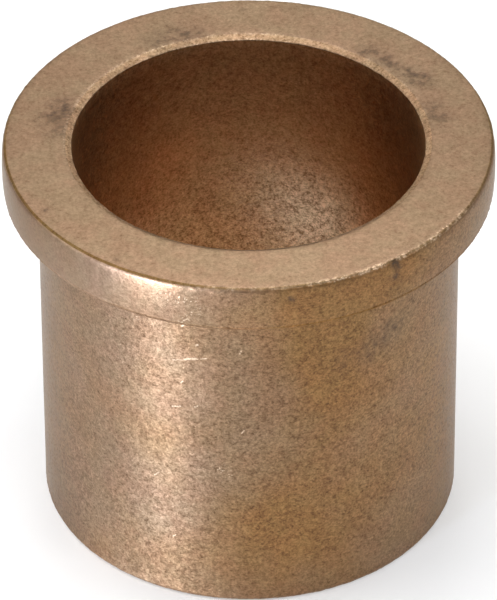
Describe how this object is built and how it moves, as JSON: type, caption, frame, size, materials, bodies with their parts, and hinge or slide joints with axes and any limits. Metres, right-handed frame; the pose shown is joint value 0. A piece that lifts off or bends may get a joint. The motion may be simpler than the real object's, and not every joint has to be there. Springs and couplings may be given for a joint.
{
  "type": "flanged sleeve bushing",
  "caption": "Flanged sleeve bushing in porous sintered bronze: a straight bore through a plain sleeve with a round flange at one end.",
  "frame": {"origin": "centre of the plain end face, where the part stands", "axes": "+Z along the bore from the plain end to the flange face; the part is round, so X and Y are free"},
  "size_m": [0.0444, 0.0444, 0.0381],
  "materials": {
    "sintered_bronze": "satin, fine open pores"
  },
  "bodies": {
    "root": {"flanged_bushing": "sintered_bronze"}
  },
  "joints": []
}
